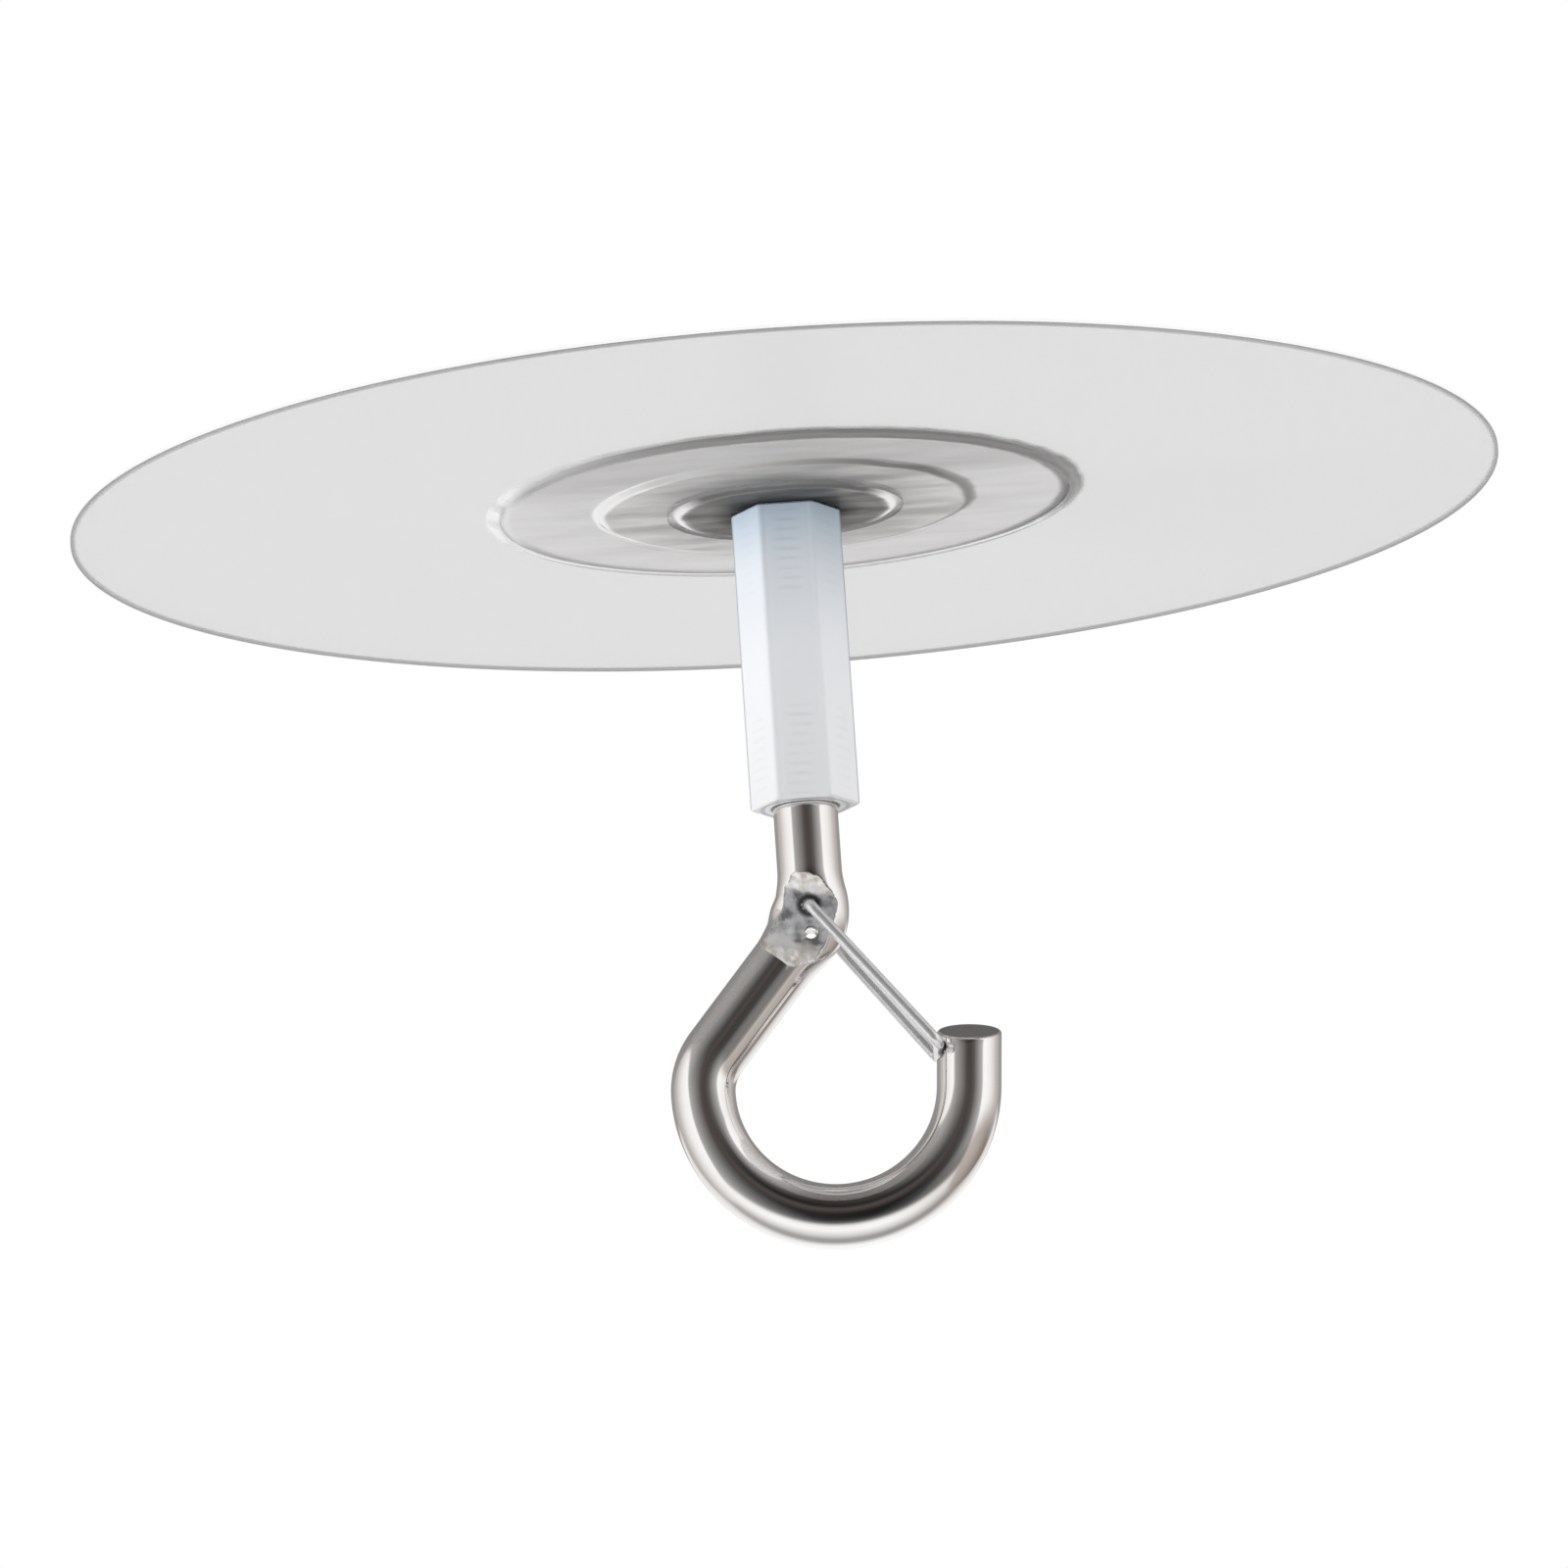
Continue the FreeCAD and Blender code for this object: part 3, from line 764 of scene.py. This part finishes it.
hook_rings = thread_rings()
thread_foot = Vector((0, 0, shank_top))
hook_rings.append(plain_ring(thread_foot, Vector((1, 0, 0)), thread_radius - hook_thread_depth))
travel = 0.0
tip_back = bar_radius * math.tan(cut_slant) + tip_clearance
while travel < bar_length - tip_back:
    hook_rings.append(bar_ring(travel))
    in_neck = neck_start < travel < neck_start + neck_length
    travel += neck_step if in_neck else bar_step
tip_end, tip_heading, tip_side = bar_frame(bar_length)
for step in range(tip_round_steps + 1):
    turned = math.radians(90 * step / tip_round_steps)
    radius = bar_radius - tip_round * (1 - math.cos(turned))
    centre = tip_end - tip_heading * tip_round * (1 - math.sin(turned))
    sawn = 1.0 if step == tip_round_steps else 0.0
    hook_rings.append(plain_ring(centre, tip_side, radius, math.tan(cut_slant), sawn))
hook_rings.append(plain_ring(tip_end, tip_side, bar_radius / 2, math.tan(cut_slant), 1.0))
hook = add_piece("bar_hook", hook_rings)
for name, values in marks.items():
    layer = hook.data.attributes.new(name, "FLOAT", "POINT")
    layer.data.foreach_set("value", values)


def drill(piece, centre, radius):
    """Cuts a round hole along Y through a piece."""
    turns = [2 * math.pi * k / hole_steps for k in range(hole_steps)]
    rings = []
    for y in (-cutter_reach, cutter_reach):
        rings.append([centre + Vector((radius * math.cos(a), y, radius * math.sin(a))) for a in turns])
    cutter = add_piece("cutter", rings)
    cut = piece.modifiers.new("hole", "BOOLEAN")
    cut.object = cutter
    cut.operation = "DIFFERENCE"
    cut.solver = "EXACT"
    bpy.context.view_layer.objects.active = piece
    bpy.ops.object.modifier_apply(modifier=cut.name)
    bpy.data.objects.remove(cutter)


pivot = Vector((hole_offset, 0, corner_height + hole_pitch / 2))
second_hole = Vector((hole_offset, 0, corner_height - hole_pitch / 2))
groove_centre = tip_end - tip_heading * groove_below_tip + tip_side * bar_radius
drill(hook, pivot, hole_radius)
drill(hook, second_hole, hole_radius)
drill(hook, groove_centre, groove_radius)


def from_cross_hole(tree, place, centre):
    """Distance in mm from the axis of a hole that runs along Y."""
    away = add_node(tree, "ShaderNodeVectorMath", {"operation": "SUBTRACT"}, {1: centre}, {0: place})
    level = add_node(tree, "ShaderNodeVectorMath", {"operation": "MULTIPLY"}, {1: (1 / mm, 0, 1 / mm)},
                     {0: away})
    return add_node(tree, "ShaderNodeVectorMath", {"operation": "LENGTH"}, links={0: level})


# Polished stainless mirrors the studio in hard bands of white and near black. The eye sees the struck neck
# as torn, pale and dull, with a painted highlight on the dies' ramps, the sawn tip as flat grey, and painted
# shade in the upper hole and the groove.
bar, tree, shader = new_material("stainless_bar_polished", {})
place = add_node(tree, "ShaderNodeTexCoord", out="Object")
pressed = add_node(tree, "ShaderNodeAttribute", {"attribute_name": "pressed"}, out="Fac")
flank = add_node(tree, "ShaderNodeAttribute", {"attribute_name": "flank"}, out="Fac")
sawn = add_node(tree, "ShaderNodeAttribute", {"attribute_name": "sawn"}, out="Fac")
torn = add_node(tree, "ShaderNodeTexNoise", links={0: place},
                inputs={"Scale": 1 / torn_width, "Detail": 3.0, "Roughness": 0.5})
flat_colour = add_node(tree, "ShaderNodeValToRGB", links={0: torn}, stops=[
    (0.34, "#8C8B8F"), (0.5, "#DADADE"), (0.66, "#FFFFFF")])
# Painted highlight: the dies' ramps are paler than the flat.
flank_highlight = add_node(tree, "ShaderNodeValToRGB", links={0: torn}, stops=[
    (0.32, "#D2CBC3"), (0.46, "#F8F4EE"), (0.58, "#FFFFFF")])
torn_colour_and_painted_light = add_node(tree, "ShaderNodeMix", {"data_type": "RGBA"},
                       links={"Factor": flank, "A": flat_colour, "B": flank_highlight})
# Painted shade: a dark ring round the upper hole, where the gate's pin sits.
pivot_hole_shade = add_node(tree, "ShaderNodeValToRGB", links={0: from_cross_hole(tree, place, pivot)}, stops=[
    (0.5, 1.0), (0.75, 0.85), (0.98, 0.0)])
torn_colour_and_painted_light = add_node(tree, "ShaderNodeMix", {"data_type": "RGBA"}, {"B": linear("#2C2A29")},
                       {"Factor": pivot_hole_shade, "A": torn_colour_and_painted_light})
haze = add_node(tree, "ShaderNodeTexNoise", inputs={"Scale": 1 / haze_width, "Detail": 3.0},
                links={0: place})
shine = add_node(tree, "ShaderNodeValToRGB", links={0: haze}, stops=[(0.3, "#F7F4F2"), (0.7, "#FBF9F8")])
colour = add_node(tree, "ShaderNodeMix", {"data_type": "RGBA"},
                  links={"Factor": pressed, "A": shine, "B": torn_colour_and_painted_light})
colour = add_node(tree, "ShaderNodeMix", {"data_type": "RGBA"}, {"B": linear("#8A8683")},
                  {"Factor": sawn, "A": colour})
# Painted shade in the tip's groove, which is also made duller.
groove_mm = groove_radius / mm
notch = add_node(tree, "ShaderNodeValToRGB", links={0: from_cross_hole(tree, place, groove_centre)}, stops=[
    (groove_mm + 0.02, 1.0), (groove_mm + 0.06, 0.0)])
colour = add_node(tree, "ShaderNodeMix", {"data_type": "RGBA"}, {"B": linear("#5C5653")},
                  {"Factor": notch, "A": colour})
tree.links.new(colour, shader.inputs["Base Color"])
dull = add_node(tree, "ShaderNodeMath", {"operation": "MAXIMUM"}, links={0: pressed, 1: sawn})
dull = add_node(tree, "ShaderNodeMath", {"operation": "MAXIMUM"}, links={0: dull, 1: notch})
gloss = add_node(tree, "ShaderNodeMapRange", inputs={"To Min": 0.09, "To Max": 0.5}, links={0: dull})
tree.links.new(gloss, shader.inputs["Roughness"])
bare = add_node(tree, "ShaderNodeMapRange", inputs={"To Min": 1.0, "To Max": 0.55}, links={0: dull})
tree.links.new(bare, shader.inputs["Metallic"])
bump = add_node(tree, "ShaderNodeBump", inputs={"Distance": 0.03 * mm},
                links={"Height": torn, "Strength": pressed})
tree.links.new(bump, shader.inputs["Normal"])
dress(hook, bar)
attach(hook, "hanger")
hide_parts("hook")


# Wire gate
# One length of hard-drawn stainless spring wire, bent to a long loop whose ends turn in to be pins. The
# pins are sprung into the drilled neck, and the loop's end rests in the groove of the tip.
streak_width = 0.833 * mm

# Drawn wire is bright but finely scored by the die: the eye sees a pale, soft sheen with no sharp bands.
# The scoring itself is too fine to show, so it is drawn coarser.
wire, tree, shader = new_material("spring_wire_drawn", {"Metallic": 0.7})
place = add_node(tree, "ShaderNodeTexCoord", out="Object")
streak = add_node(tree, "ShaderNodeTexNoise", inputs={"Scale": 1 / streak_width, "Detail": 3.0},
                  links={0: place})
colour = add_node(tree, "ShaderNodeValToRGB", links={0: streak}, stops=[(0.3, "#E6E6E7"), (0.7, "#F2F2F3")])
tree.links.new(colour, shader.inputs["Base Color"])
gloss = add_node(tree, "ShaderNodeMapRange", inputs={"To Min": 0.26, "To Max": 0.32}, links={0: streak})
tree.links.new(gloss, shader.inputs["Roughness"])
dress(nodes["wire_gate"], wire)


# Stage
# A white studio, whose floor is a room's height below the ceiling face. In reflections it has a dark
# strip overhead from front to back, which gives the polished bar its dark core, and pale side walls.
floor_drop = 2.8
floor_half = 20
floor_glow = 0.8
soft_light = 0.43
lamp_aim = Vector((0, 0, -0.03))

mesh = bpy.data.meshes.new("floor")
corners = [(-floor_half, -floor_half, 0), (floor_half, -floor_half, 0)]
corners += [(floor_half, floor_half, 0), (-floor_half, floor_half, 0)]
mesh.from_pydata(corners, [], [(0, 1, 2, 3)])
floor = bpy.data.objects.new("floor", mesh)
floor.location = (0, 0, -floor_drop)
floor.visible_glossy = False
bpy.context.scene.collection.objects.link(floor)


def seen_directly(tree):
    """1 for camera, glossy and transmission rays, which see the white of the studio."""
    path = add_node(tree, "ShaderNodeLightPath").node.outputs
    seen = add_node(tree, "ShaderNodeMath", {"operation": "MAXIMUM"},
                    links={0: path["Is Camera Ray"], 1: path["Is Glossy Ray"]})
    return add_node(tree, "ShaderNodeMath", {"operation": "MAXIMUM"},
                    links={0: seen, 1: path["Is Transmission Ray"]})


# Matt paint, rolled on: the eye sees an even white that runs into the background.
pale, tree, shader = new_material("pale_floor", {"Base Color": linear("#F4F4F2"), "Roughness": 0.9})
seen = add_node(tree, "ShaderNodeMath", {"operation": "MULTIPLY"}, {1: floor_glow}, {0: seen_directly(tree)})
glow = add_node(tree, "ShaderNodeEmission", inputs={"Color": linear("#FFFFFF"), "Strength": 1.0})
both = add_node(tree, "ShaderNodeMixShader", links={0: seen, 1: shader.outputs[0], 2: glow})
tree.links.new(both, tree.nodes["Material Output"].inputs["Surface"])
dress(floor, pale)


def add_lamp(name, place, size, power):
    """Adds a soft rectangular lamp that is turned to the part."""
    lamp = bpy.data.lights.new(name, "AREA")
    lamp.shape = "RECTANGLE"
    lamp.size, lamp.size_y = size
    lamp.energy = power
    holder = bpy.data.objects.new(name, lamp)
    holder.location = place
    holder.visible_glossy = False
    holder.rotation_euler = (lamp_aim - Vector(place)).to_track_quat("-Z", "Y").to_euler()
    bpy.context.scene.collection.objects.link(holder)


add_lamp("left_softbox", (-1.2, -0.35, -0.3), (0.9, 1.4), 15)
add_lamp("right_softbox", (1.15, -0.48, 0.2), (0.9, 1.0), 10.5)

world = bpy.data.worlds.new("white_studio")
bpy.context.scene.world = world
world.use_nodes = True
tree = world.node_tree
tree.nodes.clear()
way = add_node(tree, "ShaderNodeTexCoord", out="Generated")
parts = add_node(tree, "ShaderNodeSeparateXYZ", links={0: way}).node.outputs

# The strip runs from front to back, by degrees up from the front, with its brightness at each.
strip_degrees = [
    (-150, 1.0), (-135, 0.8), (-118, 0.35), (-104, 0.35), (-84, 0.72), (-64, 1.0), (-50, 0.95), (-43, 0.6),
    (-36, 0.15), (-28, 0.04), (-18, 0.012), (-4, 0.012), (9, "#47413F"), (14, "#4C4644"), (24, 0.012),
    (50, "#423C39"), (92, "#6F6762"), (125, 0.15), (150, 0.25), (174, 0.32), (179, 1.0)]
ahead = add_node(tree, "ShaderNodeMath", {"operation": "MULTIPLY"}, {1: -1.0}, {0: parts["Y"]})
arc = add_node(tree, "ShaderNodeMath", {"operation": "ARCTAN2"}, links={0: parts["Z"], 1: ahead})
arc = add_node(tree, "ShaderNodeMapRange", inputs={"From Min": -math.pi, "From Max": math.pi},
               links={0: arc})
strip = add_node(tree, "ShaderNodeValToRGB", links={0: arc},
                 stops=[((degrees + 180) / 360, light) for degrees, light in strip_degrees])

# It gives way to the side walls, sooner at the upper right, which shows inside the bowl's lower left.
rightward = add_node(tree, "ShaderNodeMath", {"operation": "MAXIMUM"}, {1: 0.0}, {0: parts["X"]})
overhead = add_node(tree, "ShaderNodeMath", {"operation": "SUBTRACT"}, {1: 0.42}, {0: parts["Z"]})
overhead = add_node(tree, "ShaderNodeMath", {"operation": "MAXIMUM"}, {1: 0.0}, {0: overhead})
upper_right = add_node(tree, "ShaderNodeMath", {"operation": "MULTIPLY"}, links={0: rightward, 1: overhead})
across_studio = add_node(tree, "ShaderNodeMath", {"operation": "MULTIPLY_ADD"}, {1: 1.8},
                         {0: upper_right, 2: parts["X"]})
to_right = add_node(tree, "ShaderNodeMapRange", inputs={"From Min": -1.0, "From Max": 1.0},
                    links={0: across_studio})
fade = add_node(tree, "ShaderNodeValToRGB", links={0: to_right}, stops=[
    (0.1, 1.0), (0.122, 0.42), (0.15, 0.35), (0.24, 0.22), (0.337, 0.11), (0.44, 0.01), (0.56, 0.0),
    (0.663, 0.045), (0.76, 0.21), (0.85, 0.4), (0.872, 0.48), (0.895, 1.0)])

# The walls are white in front, warmer and darker to the rear, and darker at the lower right.
to_rear = add_node(tree, "ShaderNodeMapRange", inputs={"From Min": -1.0, "From Max": 1.0},
                   links={0: parts["Y"]})
walls = add_node(tree, "ShaderNodeValToRGB", links={0: to_rear}, stops=[
    (0.25, "#FFFFFF"), (0.4, "#F5F4F3"), (0.52, "#E3E1DF"), (0.68, "#C1BCB9"), (0.87, "#ACA7A3")])
above = add_node(tree, "ShaderNodeMath", {"operation": "SUBTRACT"}, {1: 0.15}, {0: parts["Z"]})
lower_right = add_node(tree, "ShaderNodeMath", {"operation": "MULTIPLY"}, links={0: rightward, 1: above})
lower_right = add_node(tree, "ShaderNodeMapRange", {"interpolation_type": "SMOOTHSTEP"},
                       {"From Min": -0.35, "From Max": -0.1}, {0: lower_right})
lower_right = add_node(tree, "ShaderNodeValToRGB", links={0: lower_right},
                       stops=[(0.0, "#BDB5B0"), (1.0, "#FFFFFF")])
walls = add_node(tree, "ShaderNodeMix", {"data_type": "RGBA", "blend_type": "MULTIPLY"}, {"Factor": 1.0},
                 {"A": walls, "B": lower_right})
mirrored = add_node(tree, "ShaderNodeMix", {"data_type": "RGBA"},
                    links={"Factor": fade, "A": strip, "B": walls})

# Reflections see the strip and the walls, the camera sees white, and the light itself is soft and even.
glossy = add_node(tree, "ShaderNodeLightPath", out="Is Glossy Ray")
shown = add_node(tree, "ShaderNodeMix", {"data_type": "RGBA"}, {"A": linear("#FFFFFF")},
                 {"Factor": glossy, "B": mirrored})
soft = add_node(tree, "ShaderNodeBackground", inputs={"Color": linear("#FFFFFF"), "Strength": soft_light})
white = add_node(tree, "ShaderNodeBackground", inputs={"Strength": 1.0}, links={"Color": shown})
both = add_node(tree, "ShaderNodeMixShader", links={0: seen_directly(tree), 1: soft, 2: white})
add_node(tree, "ShaderNodeOutputWorld", links={"Surface": both})


# Camera
# A long lens straight in front of the part and below it, as the photograph looks up at the disc. It is
# rolled so that the disc's right side is high.
camera_distance = 1.8
camera_below = math.radians(13.53)
camera_roll = math.radians(-3.86)
pixels_per_metre = 14600
frame_pixels = 1600
sensor_width = 36
aim_point = Vector((-1.37, 0, -20.59)) * mm
view_reach = 100

camera_data = bpy.data.cameras.new("camera")
camera_data.sensor_width = sensor_width
camera_data.lens = pixels_per_metre * camera_distance * sensor_width / frame_pixels
camera_data.clip_end = view_reach
camera = bpy.data.objects.new("camera", camera_data)
camera.location = (0, -camera_distance * math.cos(camera_below), -camera_distance * math.sin(camera_below))
aim = (aim_point - camera.location).to_track_quat("-Z", "Y")
camera.rotation_euler = (aim @ Quaternion((0, 0, 1), camera_roll)).to_euler()
bpy.context.scene.collection.objects.link(camera)
bpy.context.scene.camera = camera
bpy.context.scene.view_settings.view_transform = "Standard"
